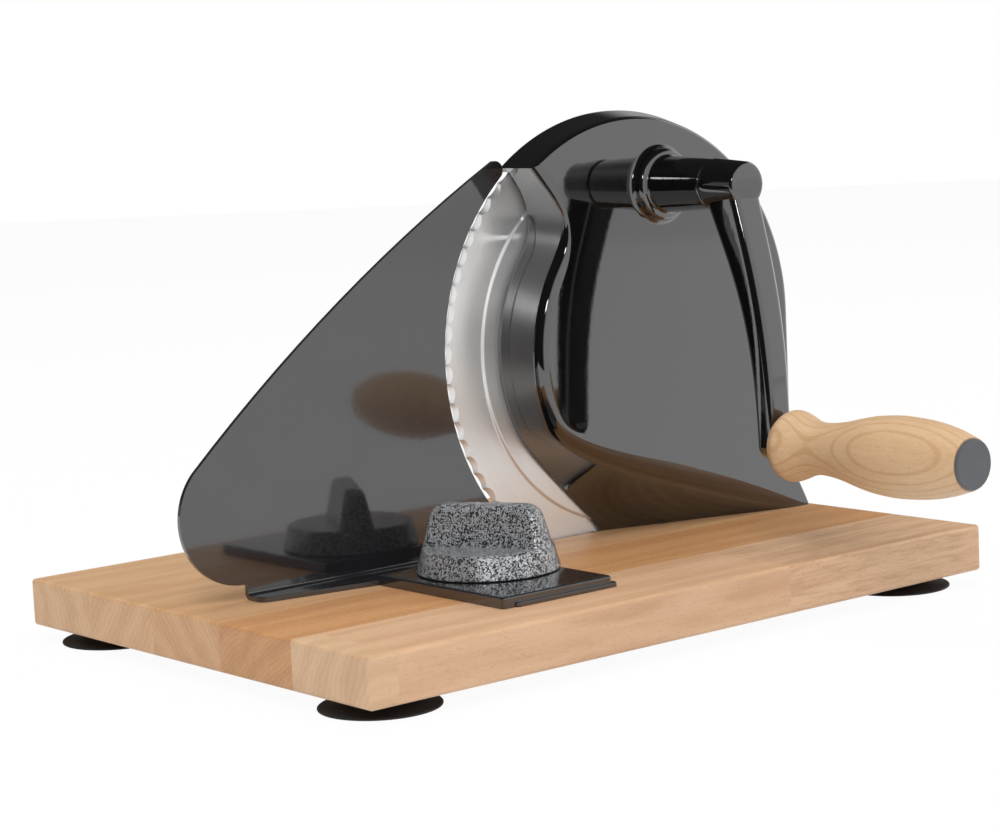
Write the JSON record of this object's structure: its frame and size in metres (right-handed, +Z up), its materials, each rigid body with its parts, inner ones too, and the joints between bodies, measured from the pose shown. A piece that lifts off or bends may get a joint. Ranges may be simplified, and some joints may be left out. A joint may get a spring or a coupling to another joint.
{
  "type": "hand cranked bread slicer",
  "caption": "Bread slicer with a beech board, a black enamelled casting over a geared round blade, a crank with a turned wooden handle, and a sliding thickness gauge with its clamp knob",
  "frame": {"origin": "on the floor, at the middle of the box round the whole slicer", "axes": "+X along the board towards the blade housing, +Y away from the crank handle, towards the side the bread lies on, +Z up"},
  "size_m": [0.3434, 0.3176, 0.212],
  "materials": {
    "beech": "satin",
    "black_enamel": "gloss",
    "blade_steel": "satin",
    "bright_steel": "satin",
    "gear_iron": "satin",
    "bearing_brass": "satin",
    "grey_lacquer": "gloss",
    "hammered_grey": "gloss",
    "cap_plastic": "satin",
    "foot_rubber": "matte"
  },
  "bodies": {
    "base": {"board_end_block": "beech", "board_front_stave": "beech", "board_front_stave_right": "beech", "board_second_stave": "beech", "board_middle_stave": "beech", "board_fourth_stave": "beech", "board_rear_stave": "beech", "casting": "black_enamel", "blade_axle": "bright_steel", "blade_cap": "blade_steel", "blade_cap_screw": "bright_steel", "crank_inner_bush": "bearing_brass", "crank_outer_bush": "bearing_brass", "casting_screws": "bright_steel", "foot_1": "foot_rubber", "foot_2": "foot_rubber", "foot_3": "foot_rubber", "foot_4": "foot_rubber", "foot_screws": "bright_steel", "clamp_stud": "bright_steel", "clamp_insert": "bearing_brass"},
    "blade_body": {"blade": "blade_steel", "blade_wheel": "gear_iron", "blade_bush": "bearing_brass", "blade_rivets": "bright_steel"},
    "crank": {"crank_arm": "black_enamel", "crank_shaft": "bright_steel", "crank_pinion": "gear_iron", "crank_grub_screw": "bright_steel", "handle_spindle": "bright_steel", "handle_washer": "bright_steel"},
    "handle": {"handle_grip": "beech", "handle_end_cap": "cap_plastic"},
    "gauge": {"gauge_plate": "grey_lacquer", "gauge_tab_cover": "grey_lacquer"},
    "knob": {"clamp_knob": "hammered_grey", "clamp_knob_nut": "bearing_brass"}
  },
  "joints": [
    {"name": "crank_spin", "type": "hinge", "parent": "base", "child": "crank", "pos_m": [0.06925, -0.03, 0.1795], "axis": [0, -1, 0], "continuous": true},
    {"name": "blade_spin", "type": "hinge", "parent": "base", "child": "blade_body", "pos_m": [0.06925, 0.04, 0.1095], "axis": [0, -1, 0], "continuous": true},
    {"name": "handle_spin", "type": "hinge", "parent": "crank", "child": "handle", "pos_m": [0.06925, -0.106, 0.0705], "axis": [0, -1, 0], "continuous": true},
    {"name": "gauge_slide", "type": "slide", "parent": "base", "child": "gauge", "axis": [0, -1, 0], "range_m": [0, 0.016]},
    {"name": "knob_turn", "type": "hinge", "parent": "base", "child": "knob", "pos_m": [-0.05375, -0.0072, 0.04], "axis": [0, 0, 1], "range_deg": [0, 180]}
  ],
  "couplings": [
    {"joint": "blade_spin", "follows": "crank_spin", "ratio": -0.25}
  ]
}
